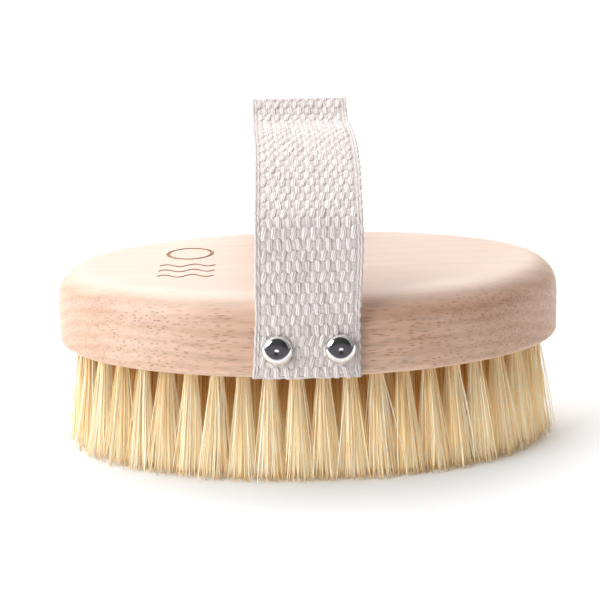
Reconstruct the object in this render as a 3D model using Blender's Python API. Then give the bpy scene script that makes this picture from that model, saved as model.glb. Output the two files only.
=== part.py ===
"""Body dry brush: an oval beech block, tufts of plant fibre and a nailed cotton hand strap.

Metres, +Z up. X runs along the block, the front is -Y, and the tips of the tufts
stand on z = 0. The strap is cut into stretches at the lines where it bends when the
hand loop sways to the front or the back.
"""
import math

import bmesh
import bpy
from mathutils import Matrix, Vector

# The wooden block
BLOCK_LENGTH = 0.135
BLOCK_WIDTH = 0.080
BLOCK_THICKNESS = 0.021
TOP_ROUNDING = 0.0085
BOTTOM_ROUNDING = 0.002

# The tufts: each one is pressed into a blind hole and fans out towards its tips
TUFT_FREE_LENGTH = 0.0275
HOLE_DIAMETER = 0.0040
HOLE_DEPTH = 0.0065
TUFT_CLEARANCE = 0.0003
OUTER_TUFT_COUNT = 44
TUFT_PITCH = 0.0069
ROW_SPACING = 0.0066
EDGE_MARGIN = 0.0065
INNER_END_MARGIN = 0.0066
INNER_SIDE_MARGIN = 0.0063
PAD_END_MARGIN = 0.0033
PAD_SIDE_MARGIN = 0.00165
TIP_RADIUS = 0.0030
OUTER_LEAN = 0.0030
FAN_MERGE_HEIGHT = 0.0120
ROWS_EACH_SIDE = 4
FIRST_SIDE_ROW = 3

# The hand strap
STRAP_WIDTH = 0.0270
STRAP_THICKNESS = 0.0013
STRAP_GAP = 0.0003
STRAP_END_ABOVE = 0.0005
STRAP_LEG_LENGTH = 0.0180
STRAP_RISE = 0.0200
SHOULDER_RISE = 0.0035
HINGE_GAP = 0.0004
END_CHAMFER = 0.0004

# The hand loop's guide points between its two lower bends: place across as a share of
# the half span, height as a share of the crown's rise, and share of the shoulder's rise
LOOP_GUIDES = (
    (-0.96, 0.26, 0.0),
    (-0.76, 0.55, 0.0),
    (-0.47, 0.83, 0.0),
    (-0.12, 0.975, 0.0),
    (0.20, 1.0, 0.0),
    (0.48, 0.95, 0.0),
    (0.68, 0.92, 0.0),
    (0.80, 1.0, 0.0),
    (0.88, 1.0, 0.67),
    (0.95, 1.0, 1.0),
    (1.0, 0.85, 1.0),
    (1.0, 0.6, 0.0),
)

# The dome-headed nails
NAIL_HEAD_DIAMETER = 0.0078
NAIL_HEAD_HEIGHT = 0.0021
NAIL_RIM_HEIGHT = 0.0004
NAIL_DIMPLE_RADIUS = 0.0008
NAIL_DIMPLE_DEPTH = 0.0003
NAIL_SHANK_DIAMETER = 0.0016
NAIL_SHANK_LENGTH = 0.0105
NAIL_POINT_LENGTH = 0.0025
NAIL_SPACING = 0.0157
NAIL_CLEARANCE = 0.0003
NAIL_WALL = 0.0006

# How finely round shapes are cut
BLOCK_SEGMENTS = 96
TUFT_SIDES = 8
NAIL_SEGMENTS = 20
PILOT_SEGMENTS = 8
ROUNDING_STEPS = 6
BOTTOM_STEPS = 2
PAD_STEPS = 6
TAB_STRIPS = 8
CURVE_STEPS = 5
OVAL_STEPS = 3600
MERGE_DISTANCE = 0.00001

# Places that follow from the sizes
UNDERSIDE = TUFT_FREE_LENGTH
BLOCK_TOP = UNDERSIDE + BLOCK_THICKNESS
HALF_LENGTH = BLOCK_LENGTH / 2
HALF_WIDTH = BLOCK_WIDTH / 2
HOLE_RADIUS = HOLE_DIAMETER / 2
ROOT_RADIUS = HOLE_RADIUS - TUFT_CLEARANCE
ROOT_TOP = UNDERSIDE + HOLE_DEPTH - TUFT_CLEARANCE
STRAP_OFFSET = STRAP_GAP + STRAP_THICKNESS / 2
STRAP_PLANE = HALF_WIDTH + STRAP_OFFSET
HINGE_HEIGHT = BLOCK_TOP - TOP_ROUNDING / 2
PIVOT_HEIGHT = HINGE_HEIGHT + STRAP_LEG_LENGTH
NAIL_RADIUS = NAIL_SHANK_DIAMETER / 2
PILOT_RADIUS = NAIL_RADIUS + NAIL_CLEARANCE
NAIL_HEIGHT = UNDERSIDE + HOLE_DEPTH + PILOT_RADIUS + NAIL_WALL


def clear_scene():
    for old in list(bpy.data.objects):
        bpy.data.objects.remove(old, do_unlink=True)


def material(name, colour, roughness, metallic=0.0):
    made = bpy.data.materials.new(name)
    made.use_nodes = True
    shader = made.node_tree.nodes["Principled BSDF"]
    shader.inputs["Base Color"].default_value = (*colour, 1.0)
    shader.inputs["Roughness"].default_value = roughness
    shader.inputs["Metallic"].default_value = metallic
    made.diffuse_color = (*colour, 1.0)
    return made


def add_object(name, mesh_maker, surface, location=(0, 0, 0), angle=0.0):
    """Make a named object from a bmesh whose outward faces are made consistent."""
    mesh = bpy.data.meshes.new(name)
    bmesh.ops.recalc_face_normals(mesh_maker, faces=mesh_maker.faces[:])
    mesh_maker.to_mesh(mesh)
    mesh_maker.free()
    made = bpy.data.objects.new(name, mesh)
    made.location = location
    made.rotation_euler = (0, 0, angle)
    if surface is not None:
        mesh.materials.append(surface)
    bpy.context.scene.collection.objects.link(made)
    return made


def add_loops(work, loops):
    """Skin closed loops of equal length into one closed body with flat ends."""
    rings = [[work.verts.new(point) for point in loop] for loop in loops]
    count = len(rings[0])
    for lower, upper in zip(rings, rings[1:]):
        for i in range(count):
            j = (i + 1) % count
            work.faces.new((lower[i], lower[j], upper[j], upper[i]))
    work.faces.new(rings[0][::-1])
    work.faces.new(rings[-1])


def oval(half_length, half_width, height, count=BLOCK_SEGMENTS):
    turns = [2 * math.pi * i / count for i in range(count)]
    return [(half_length * math.cos(t), half_width * math.sin(t), height) for t in turns]


def circle(x, y, radius, height, count, start=0.0):
    turns = [start + 2 * math.pi * i / count for i in range(count)]
    return [(x + radius * math.cos(t), y + radius * math.sin(t), height) for t in turns]


def smooth(made, degrees=35):
    made.data.shade_smooth()
    made.data.set_sharp_from_angle(angle=math.radians(degrees))


def cut(target, cutter, name):
    cutter.hide_render = True
    cutter.display_type = "WIRE"
    boolean = target.modifiers.new(name, "BOOLEAN")
    boolean.operation = "DIFFERENCE"
    boolean.solver = "EXACT"
    boolean.object = cutter


def side_y(x, offset=0.0):
    """Distance from the centre plane to the block's side, moved outwards by an offset."""
    return (HALF_WIDTH + offset) * math.sqrt(1 - (x / (HALF_LENGTH + offset)) ** 2)


def side_angle(x):
    """Angle of the side's outward direction from the Y axis at a place along the block."""
    slope = HALF_WIDTH / HALF_LENGTH * x / math.sqrt(HALF_LENGTH ** 2 - x ** 2)
    return math.atan(slope)


def spread_on_oval(half_length, half_width, count):
    """Points on an oval, equally far apart, with a gap and not a point at the front."""
    places = []
    travelled = [0.0]
    for i in range(OVAL_STEPS + 1):
        turn = 2 * math.pi * i / OVAL_STEPS
        places.append(Vector((half_length * math.sin(turn), -half_width * math.cos(turn), 0)))
    for before, after in zip(places, places[1:]):
        travelled.append(travelled[-1] + (after - before).length)
    chosen = []
    i = 0
    for k in range(count):
        wanted = (k + 0.5) * travelled[-1] / count
        while travelled[i] < wanted:
            i += 1
        chosen.append(places[i])
    return chosen


def outer_tuft_places():
    ring_length = HALF_LENGTH - EDGE_MARGIN
    ring_width = HALF_WIDTH - EDGE_MARGIN
    return spread_on_oval(ring_length, ring_width, OUTER_TUFT_COUNT)


def row_reach(y):
    """Half the length that a straight inner row may take at a distance from the middle."""
    reach_x = HALF_LENGTH - EDGE_MARGIN - INNER_END_MARGIN
    reach_y = HALF_WIDTH - EDGE_MARGIN - INNER_SIDE_MARGIN
    inside = 1 - (y / reach_y) ** 2
    return reach_x * math.sqrt(inside) if inside > 0 else 0.0


def row_places(row):
    """Tuft centres of one straight row; every second row is shifted by half a pitch."""
    y = row * ROW_SPACING
    shift = 0.0 if row % 2 else 0.5
    half_count = int(row_reach(y) / TUFT_PITCH + shift)
    if shift:
        steps = [k + shift for k in range(-half_count, half_count)]
    else:
        steps = list(range(-half_count, half_count + 1))
    return [Vector((step * TUFT_PITCH, y, 0)) for step in steps]


def filled_rows():
    rows = range(-ROWS_EACH_SIDE, ROWS_EACH_SIDE + 1)
    return [row for row in rows if row_reach(row * ROW_SPACING) > TUFT_PITCH]


def block_loops():
    loops = []
    for i in range(BOTTOM_STEPS + 1):
        turn = math.pi / 2 * i / BOTTOM_STEPS
        inset = BOTTOM_ROUNDING * (1 - math.sin(turn))
        height = UNDERSIDE + BOTTOM_ROUNDING * (1 - math.cos(turn))
        loops.append(oval(HALF_LENGTH - inset, HALF_WIDTH - inset, height))
    for i in range(ROUNDING_STEPS + 1):
        turn = math.pi / 2 * i / ROUNDING_STEPS
        inset = TOP_ROUNDING * (1 - math.cos(turn))
        height = BLOCK_TOP - TOP_ROUNDING * (1 - math.sin(turn))
        loops.append(oval(HALF_LENGTH - inset, HALF_WIDTH - inset, height))
    return loops


def nail_positions():
    """Name, place on the strap's outer face and outward angle of each nail."""
    found = []
    for side, facing in (("front", -1), ("back", 1)):
        for hand, x in (("left", -NAIL_SPACING / 2), ("right", NAIL_SPACING / 2)):
            distance = side_y(x, STRAP_GAP + STRAP_THICKNESS + NAIL_CLEARANCE)
            turn = side_angle(x) if facing < 0 else math.pi - side_angle(x)
            found.append((f"nail_{side}_{hand}", (x, facing * distance, NAIL_HEIGHT), turn))
    return found


def round_bar(work, radius, length, start, segments):
    """A bar along +Y of the nail's own frame, from a start distance inwards."""
    loops = []
    for y in (start, start + length):
        turns = [2 * math.pi * i / segments for i in range(segments)]
        loops.append([(radius * math.cos(t), y, radius * math.sin(t)) for t in turns])
    add_loops(work, loops)


def pilot_cutter(name, nails):
    """Bars that cut the nails' pilot holes through the strap and into the wood."""
    work = bmesh.new()
    depth = NAIL_SHANK_LENGTH + NAIL_CLEARANCE
    for _, place, turn in nails:
        bar = bmesh.new()
        round_bar(bar, PILOT_RADIUS, depth + NAIL_CLEARANCE, -NAIL_CLEARANCE, PILOT_SEGMENTS)
        matrix = Matrix.Translation(place) @ Matrix.Rotation(turn, 4, "Z")
        bmesh.ops.transform(bar, matrix=matrix, verts=bar.verts[:])
        scratch = bpy.data.meshes.new("bar")
        bar.to_mesh(scratch)
        bar.free()
        work.from_mesh(scratch)
        bpy.data.meshes.remove(scratch)
    return add_object(name, work, None)


def tuft_hole_cutter(places):
    work = bmesh.new()
    for place in places:
        mouth = circle(place.x, place.y, HOLE_RADIUS, UNDERSIDE - HOLE_RADIUS, TUFT_SIDES)
        bottom = circle(place.x, place.y, HOLE_RADIUS, UNDERSIDE + HOLE_DEPTH, TUFT_SIDES)
        add_loops(work, [mouth, bottom])
    return add_object("tuft_hole_cutter", work, None)


def make_block(surface, places, pilots):
    work = bmesh.new()
    add_loops(work, block_loops())
    block = add_object("wood_block", work, surface)
    smooth(block)
    cut(block, tuft_hole_cutter(places), "tuft_holes")
    cut(block, pilots, "nail_holes")


def tuft_loops(place, lean, lowest, lowest_radius):
    """Loops of one tuft, from its fanned tips up to the root at the bottom of its hole."""
    tip = place + lean
    return [
        circle(tip.x, tip.y, lowest_radius, lowest, TUFT_SIDES),
        circle(place.x, place.y, ROOT_RADIUS, UNDERSIDE, TUFT_SIDES),
        circle(place.x, place.y, ROOT_RADIUS, ROOT_TOP, TUFT_SIDES),
    ]


def make_outer_tufts(surface):
    for number, place in enumerate(outer_tuft_places(), start=1):
        outwards = Vector((place.x / HALF_LENGTH ** 2, place.y / HALF_WIDTH ** 2, 0)).normalized()
        work = bmesh.new()
        add_loops(work, tuft_loops(place, outwards * OUTER_LEAN, 0.0, TIP_RADIUS))
        smooth(add_object(f"outer_tuft_{number:02d}", work, surface))


def row_pad_outline(low, high, height):
    """Outline of the merged fans of neighbouring rows, between two distances from the middle."""
    reach_x = HALF_LENGTH - EDGE_MARGIN - PAD_END_MARGIN
    reach_y = HALF_WIDTH - EDGE_MARGIN - PAD_SIDE_MARGIN
    levels = [low + (high - low) * i / PAD_STEPS for i in range(PAD_STEPS + 1)]
    right = [(reach_x * math.sqrt(1 - (y / reach_y) ** 2), y, height) for y in levels]
    left = [(-x, y, z) for x, y, z in reversed(right)]
    return right + left


def make_inner_tufts(name, rows, surface):
    """Tufts of neighbouring straight rows, joined where their fans of fibres meet."""
    low = min(rows) * ROW_SPACING - ROW_SPACING / 2 + TUFT_CLEARANCE / 2
    high = max(rows) * ROW_SPACING + ROW_SPACING / 2 - TUFT_CLEARANCE / 2
    work = bmesh.new()
    outlines = [row_pad_outline(low, high, z) for z in (0.0, FAN_MERGE_HEIGHT)]
    add_loops(work, outlines)
    pad = add_object(name, work, surface)

    stems = bmesh.new()
    overlap = TUFT_CLEARANCE
    for row in rows:
        for place in row_places(row):
            base = FAN_MERGE_HEIGHT - overlap
            radius = (ROOT_RADIUS + TIP_RADIUS) / 2
            add_loops(stems, tuft_loops(place, Vector((0, 0, 0)), base, radius))
    stem_object = add_object(name + "_stems", stems, None)
    stem_object.hide_render = True
    stem_object.display_type = "WIRE"
    join = pad.modifiers.new("stems", "BOOLEAN")
    join.operation = "UNION"
    join.solver = "EXACT"
    join.object = stem_object


def band_loops(line, thicknesses, start=-STRAP_WIDTH / 2, end=STRAP_WIDTH / 2):
    """Cross-sections of the webbing at each point of a line in the YZ plane."""
    loops = []
    for i, point in enumerate(line):
        before = line[max(i - 1, 0)]
        after = line[min(i + 1, len(line) - 1)]
        along = (after - before).normalized()
        across = Vector((0, along.z, -along.y)) * (thicknesses[i] / 2)
        inner = point - across
        outer = point + across
        loops.append([
            (start, inner.y, inner.z),
            (end, inner.y, inner.z),
            (end, outer.y, outer.z),
            (start, outer.y, outer.z),
        ])
    return loops


def chamfered(line):
    """Add the end points of a webbing line's chamfers, with the thickness at each point."""
    first = (line[1] - line[0]).normalized()
    last = (line[-2] - line[-1]).normalized()
    points = [line[0], line[0] + first * END_CHAMFER]
    points += line[1:-1]
    points += [line[-1] + last * END_CHAMFER, line[-1]]
    thin = STRAP_THICKNESS - 2 * END_CHAMFER
    thicknesses = [thin] + [STRAP_THICKNESS] * (len(points) - 2) + [thin]
    return points, thicknesses


def make_leg(name, facing, surface):
    """The stretch of webbing between the block's edge and the loop's lower bend."""
    half_gap = HINGE_GAP / 2
    line = [Vector((0, 0, half_gap)), Vector((0, 0, STRAP_LEG_LENGTH - half_gap))]
    work = bmesh.new()
    add_loops(work, band_loops(*chamfered(line)))
    return add_object(name, work, surface, (0, facing * STRAP_PLANE, HINGE_HEIGHT))


def loop_line():
    """Middle line of the loop over the hand, from the front bend to the back bend."""
    points = [Vector((0, -STRAP_PLANE, HINGE_GAP / 2))]
    for place, rise, shoulder in LOOP_GUIDES:
        height = rise * STRAP_RISE + shoulder * SHOULDER_RISE
        points.append(Vector((0, place * STRAP_PLANE, height)))
    points.append(Vector((0, STRAP_PLANE, HINGE_GAP / 2)))
    return rounded(points)


def rounded(points):
    """A smooth line through guide points (Catmull-Rom)."""
    padded = [points[0] * 2 - points[1]] + points + [points[-1] * 2 - points[-2]]
    line = [points[0]]
    for a, b, c, d in zip(padded, padded[1:], padded[2:], padded[3:]):
        for i in range(1, CURVE_STEPS + 1):
            t = i / CURVE_STEPS
            flat = 2 * b + (c - a) * t
            bent = (2 * a - 5 * b + 4 * c - d) * t ** 2 + (3 * b - 3 * c + d - a) * t ** 3
            line.append((flat + bent) / 2)
    return line


def make_loop(surface, front_leg):
    work = bmesh.new()
    add_loops(work, band_loops(*chamfered(loop_line())))
    bmesh.ops.translate(work, verts=work.verts[:], vec=(0, STRAP_PLANE, 0))
    loop = add_object("strap_loop", work, surface)
    loop.parent = front_leg
    loop.location = (0, 0, STRAP_LEG_LENGTH)
    smooth(loop, 60)


def make_tab(name, facing, surface, pilots):
    """The nailed end of the strap, which lies against the block's curved side."""
    low = UNDERSIDE + STRAP_END_ABOVE
    high = HINGE_HEIGHT - HINGE_GAP / 2
    stations = []
    for i in range(TAB_STRIPS + 1):
        x = -STRAP_WIDTH / 2 + STRAP_WIDTH * i / TAB_STRIPS
        inner = facing * side_y(x, STRAP_GAP)
        outer = facing * side_y(x, STRAP_GAP + STRAP_THICKNESS)
        lean = facing * END_CHAMFER
        stations.append([
            (x, inner, low),
            (x, outer, low),
            (x, outer, high - END_CHAMFER),
            (x, outer - lean, high),
            (x, inner + lean, high),
            (x, inner, high - END_CHAMFER),
        ])
    work = bmesh.new()
    add_loops(work, stations)
    tab = add_object(name, work, surface)
    cut(tab, pilots, "nail_holes")


def nail_profile():
    """Radius and distance inwards of the nail's outline, from the dimple to the point."""
    head = NAIL_HEAD_DIAMETER / 2
    dome = NAIL_HEAD_HEIGHT - NAIL_RIM_HEIGHT
    points = [(0.0, -NAIL_HEAD_HEIGHT + NAIL_DIMPLE_DEPTH)]
    for share in (NAIL_DIMPLE_RADIUS / head, 0.45, 0.7, 0.9):
        points.append((head * share, -NAIL_RIM_HEIGHT - dome * math.sqrt(1 - share ** 2)))
    points.append((head, -NAIL_RIM_HEIGHT))
    points.append((head, 0.0))
    points.append((NAIL_RADIUS, 0.0))
    points.append((NAIL_RADIUS, NAIL_SHANK_LENGTH - NAIL_POINT_LENGTH))
    points.append((0.0, NAIL_SHANK_LENGTH))
    return points


def make_nail(name, place, turn, surface):
    """A dome-headed nail, turned so that it points straight into the block's side."""
    work = bmesh.new()
    corners = [work.verts.new((radius, y, 0)) for radius, y in nail_profile()]
    edges = [work.edges.new(pair) for pair in zip(corners, corners[1:])]
    bmesh.ops.spin(work, geom=corners + edges, cent=(0, 0, 0), axis=(0, 1, 0),
                   angle=2 * math.pi, steps=NAIL_SEGMENTS, use_merge=True)
    bmesh.ops.remove_doubles(work, verts=work.verts[:], dist=MERGE_DISTANCE)
    smooth(add_object(name, work, surface, place, turn), 50)


def build():
    clear_scene()
    beech = material("beech", (0.80, 0.58, 0.39), 0.5)
    cotton = material("cotton_webbing", (0.82, 0.77, 0.70), 0.9)
    fibre = material("plant_fibre", (0.84, 0.72, 0.44), 0.7)
    chrome = material("chromed_steel", (0.72, 0.73, 0.75), 0.15, 1.0)

    nails = nail_positions()
    pilots = pilot_cutter("nail_hole_cutter", nails)
    rows = filled_rows()
    inner = [place for row in rows for place in row_places(row)]
    make_block(beech, outer_tuft_places() + inner, pilots)
    make_outer_tufts(fibre)
    groups = {
        "inner_tufts_front_outer": [row for row in rows if row <= -FIRST_SIDE_ROW],
        "inner_tufts_front": [row for row in rows if -FIRST_SIDE_ROW < row < 0],
        "inner_tufts_centre": [0],
        "inner_tufts_back": [row for row in rows if 0 < row < FIRST_SIDE_ROW],
        "inner_tufts_back_outer": [row for row in rows if row >= FIRST_SIDE_ROW],
    }
    for name, members in groups.items():
        if members:
            make_inner_tufts(name, members, fibre)
    for name, place, turn in nails:
        make_nail(name, place, turn, chrome)
    make_tab("strap_front_tab", -1, cotton, pilots)
    make_tab("strap_back_tab", 1, cotton, pilots)
    front_leg = make_leg("strap_front_leg", -1, cotton)
    make_leg("strap_back_leg", 1, cotton)
    make_loop(cotton, front_leg)


build()
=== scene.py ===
"""Looks of the body dry brush: beech block, plant-fibre tufts, woven cotton strap, chromed nails."""
import math

import bmesh
import bpy
import numpy as np
from mathutils import Matrix, Vector


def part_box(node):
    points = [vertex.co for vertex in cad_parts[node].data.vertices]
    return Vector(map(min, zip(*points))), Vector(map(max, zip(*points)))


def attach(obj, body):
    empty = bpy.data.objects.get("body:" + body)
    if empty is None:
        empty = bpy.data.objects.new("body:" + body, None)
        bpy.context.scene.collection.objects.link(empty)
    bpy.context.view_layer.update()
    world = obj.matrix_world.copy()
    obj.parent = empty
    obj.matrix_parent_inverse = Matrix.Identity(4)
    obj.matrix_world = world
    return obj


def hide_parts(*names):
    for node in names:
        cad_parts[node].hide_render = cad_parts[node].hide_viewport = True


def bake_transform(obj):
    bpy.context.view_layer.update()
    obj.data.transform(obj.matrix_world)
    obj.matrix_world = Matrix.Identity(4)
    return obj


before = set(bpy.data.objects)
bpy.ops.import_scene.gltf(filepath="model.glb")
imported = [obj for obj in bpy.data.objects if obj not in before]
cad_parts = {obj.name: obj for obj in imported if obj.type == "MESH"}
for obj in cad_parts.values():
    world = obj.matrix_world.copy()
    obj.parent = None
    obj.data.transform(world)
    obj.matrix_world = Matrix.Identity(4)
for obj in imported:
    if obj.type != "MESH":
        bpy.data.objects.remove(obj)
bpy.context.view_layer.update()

BODY = "brush_body"
MM = 0.001

# Sizes that follow from the frame
BLOCK_LOW, BLOCK_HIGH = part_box("wood_block")
UNDERSIDE = BLOCK_LOW.z
BLOCK_TOP = BLOCK_HIGH.z
HALF_LENGTH = BLOCK_HIGH.x
HALF_WIDTH = BLOCK_HIGH.y
LEG_LOW, LEG_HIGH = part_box("strap_front_leg")
TAB_LOW, TAB_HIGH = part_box("strap_front_tab")
LOOP_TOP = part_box("strap_loop")[1].z
HINGE_GAP = LEG_LOW.z - TAB_HIGH.z
STRAP_WIDTH = LEG_HIGH.x - LEG_LOW.x
STRAP_THICKNESS = LEG_HIGH.y - LEG_LOW.y
STRAP_PLANE = -(LEG_LOW.y + LEG_HIGH.y) / 2
STRAP_GAP = STRAP_PLANE - STRAP_THICKNESS / 2 - HALF_WIDTH
HINGE_HEIGHT = LEG_LOW.z - HINGE_GAP / 2
PIVOT_HEIGHT = LEG_HIGH.z + HINGE_GAP / 2
STRAP_END = TAB_LOW.z
ROOT_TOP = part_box("outer_tuft_01")[1].z

# The block's shape
TOP_ROUNDING = 8.5 * MM
BOTTOM_ROUNDING = 2.0 * MM
HOLE_RADIUS = 2.0 * MM
HOLE_TOP_GAP = 0.3 * MM
OUTLINE_STEPS = 288
HOLE_SIDES = 20
MARK_DEPTH = 0.2 * MM
MARK_X = -32.0 * MM
MARK_STROKE = 1.1 * MM
RING_Y = 9.5 * MM
RING_OUTER = 6.6 * MM
RING_HALF_TURN = 0.985 * math.pi
WAVE_ROWS = (-3.5 * MM, -9.0 * MM, -14.5 * MM)
WAVE_LENGTH = 7.5 * MM
WAVE_HEIGHT = 1.2 * MM

# The fibres
ROOT_RADIUS = 1.55 * MM
OUTER_FIBRES = 100
INNER_FIBRES = 38
OUTER_TIP_RADIUS = 4.3 * MM
INNER_TIP_RADIUS = 3.8 * MM
FIBRE_LEVELS = (-0.16, 0.0, 0.32, 0.66, 0.93, 1.0)
FIBRE_TAPER = (1.0, 1.0, 0.95, 0.88, 0.78, 0.55)
# Painted shade along each fibre, root to tip: darker at the roots, and at the outer tips as a painted
# contact shadow.
OUTER_SHADE_ALONG_FIBRE = (-0.26, -0.22, 0.0, 0.06, 0.08, -0.35)
INNER_SHADE_ALONG_FIBRE = (-0.40, -0.34, -0.20, 0.05, 0.32, 0.10)
# Painted light: emission along each fibre, root to tip; low at the root and tip, which leaves them
# darker as painted shade.
FIBRE_GLOW = (0.1, 0.32, 0.6, 1.05, 1.0, 0.15)
OUTER_LEAN = 4.2 * MM
END_LEAN = -2.9 * MM
FIBRE_RADIUS = 0.16 * MM
STRAY_SHARE = 0.08
# Painted light: emission strength of outer and inner tufts; the inner tufts get less, as painted shade.
OUTER_GLOW = 0.125
INNER_GLOW = 0.08
PALE_FIBRE = ((0.60, 0.33, 0.13), (0.88, 0.62, 0.30), (0.98, 0.82, 0.53), (1.0, 0.95, 0.81))
# Painted shade: a darker, more saturated copy of the fibre colours for the inner tufts, standing in for
# shade between the tufts.
INNER_FIBRE_PAINTED_SHADE = ((0.54, 0.23, 0.06), (0.82, 0.48, 0.16), (0.95, 0.72, 0.37), (1.0, 0.90, 0.66))
ANCHOR_RADIUS = 0.2 * MM
ANCHOR_LEG = Vector((0, 0, 1.3 * MM))

# The weave of the strap
COLUMN_PITCH = 2.45 * MM
ROW_PITCH = 2.75 * MM
FLOAT_LENGTH = 3.6 * MM
FLOAT_WIDTH = 1.70 * MM
GROUND_HALF = 0.03 * MM
RIB_HEIGHT = 0.33 * MM
FLOAT_HEIGHT = 0.74 * MM
CUT_MARGIN = 1.6 * MM
FLOAT_CLEARANCE = 1.7 * MM
FLOAT_LEAN = 0.22 * MM
CORD_RADIUS = 0.42 * MM
CORDS = ((-1, 0.45, 1.0), (1, 0.45, 1.0), (-1, 1.15, 0.92), (1, 1.15, 0.92))
CUT_END_RADIUS = 0.50 * MM
CUT_END_INSET = 0.35 * MM
LINT_SPACING = 0.16 * MM
YARN_DARK, YARN_LIGHT = (0.75, 0.645, 0.605), (0.93, 0.835, 0.80)
WEFT_DARK, WEFT_LIGHT = (0.71, 0.605, 0.56), (0.94, 0.84, 0.795)

# Guide points of the hand loop: place across, rise and shoulder, as shares of their sizes
SHOULDER_RISE = 3.5 * MM
LOOP_GUIDES = (
    (-0.96, 0.26, 0.0), (-0.76, 0.55, 0.0), (-0.47, 0.83, 0.0), (-0.12, 0.975, 0.0),
    (0.20, 1.0, 0.0), (0.48, 0.95, 0.0), (0.68, 0.92, 0.0), (0.80, 1.0, 0.0),
    (0.88, 1.0, 0.67), (0.95, 1.0, 1.0), (1.0, 0.85, 1.0), (1.0, 0.6, 0.0),
)
# Sideways wander of the strap: distance past the front pivot, and shift
SWAY_PAST_PIVOT = (0.0, 24 * MM, 40 * MM, 58 * MM, 93 * MM)
SWAY_SHIFTS = (-0.7, 0.7, 0.8, 0.45, -0.4, -1.2, -1.2)

# The nails
NAIL_RADIUS = 3.9 * MM
NAIL_DOME = 1.35 * MM
NAIL_WALL = 0.55 * MM
NAIL_DIMPLE_RADIUS = 0.60 * MM
NAIL_DIMPLE_DEPTH = 0.25 * MM
NAIL_SEGMENTS = 72
NAIL_SHANK = [(0.8 * MM, -0.30 * MM), (0.8 * MM, -8.0 * MM), (0.02 * MM, -10.4 * MM)]

rng = np.random.default_rng(7)


# ---------------------------------------------------------------- node helpers

def new_material(name):
    made = bpy.data.materials.new(name)
    made.use_nodes = True
    return made, made.node_tree, made.node_tree.nodes["Principled BSDF"]


def node(tree, kind, inputs=None, **settings):
    made = tree.nodes.new(kind)
    for key, value in settings.items():
        setattr(made, key, value)
    for key, value in (inputs or {}).items():
        made.inputs[key].default_value = value
    return made


def link(tree, source, target):
    tree.links.new(source, target)


def mapped(tree, scale, coordinate="Object", rotation=(0, 0, 0)):
    """Texture coordinates, stretched by a scale in each direction."""
    place = node(tree, "ShaderNodeTexCoord")
    mapping = node(tree, "ShaderNodeMapping", {"Scale": scale, "Rotation": rotation})
    link(tree, place.outputs[coordinate], mapping.inputs["Vector"])
    return mapping.outputs["Vector"]


def noise(tree, vector, scale, detail=2.0, roughness=0.5, distortion=0.0):
    made = node(tree, "ShaderNodeTexNoise", {
        "Scale": scale, "Detail": detail, "Roughness": roughness, "Distortion": distortion})
    link(tree, vector, made.inputs["Vector"])
    return made.outputs["Fac"]


def ramp(tree, value, stops):
    """A colour ramp; each stop is a place and a colour or a grey level."""
    made = node(tree, "ShaderNodeValToRGB")
    for place, shade in stops[2:]:
        made.color_ramp.elements.new(place)
    for element, (place, shade) in zip(made.color_ramp.elements, stops):
        element.position = place
        colour = (shade, shade, shade) if isinstance(shade, (int, float)) else shade
        element.color = (*colour, 1.0)
    link(tree, value, made.inputs["Fac"])
    return made.outputs["Color"]


def mix(tree, kind, factor, first, second):
    """Mix two colours; each argument is a socket or a plain value."""
    made = node(tree, "ShaderNodeMix", data_type="RGBA", blend_type=kind)
    for socket, value in ((made.inputs[0], factor), (made.inputs[6], first), (made.inputs[7], second)):
        if isinstance(value, bpy.types.NodeSocket):
            link(tree, value, socket)
        else:
            socket.default_value = value if isinstance(value, float) else (*value, 1.0)
    return made.outputs[2]


def maths(tree, operation, first, second=0.0):
    made = node(tree, "ShaderNodeMath", operation=operation)
    for socket, value in ((made.inputs[0], first), (made.inputs[1], second)):
        if isinstance(value, bpy.types.NodeSocket):
            link(tree, value, socket)
        else:
            socket.default_value = value
    return made.outputs[0]


def bump(tree, shader, height, distance, strength=1.0):
    made = node(tree, "ShaderNodeBump", {"Strength": strength, "Distance": distance})
    link(tree, height, made.inputs["Height"])
    link(tree, made.outputs["Normal"], shader.inputs["Normal"])


# ---------------------------------------------------------------- materials

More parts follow.
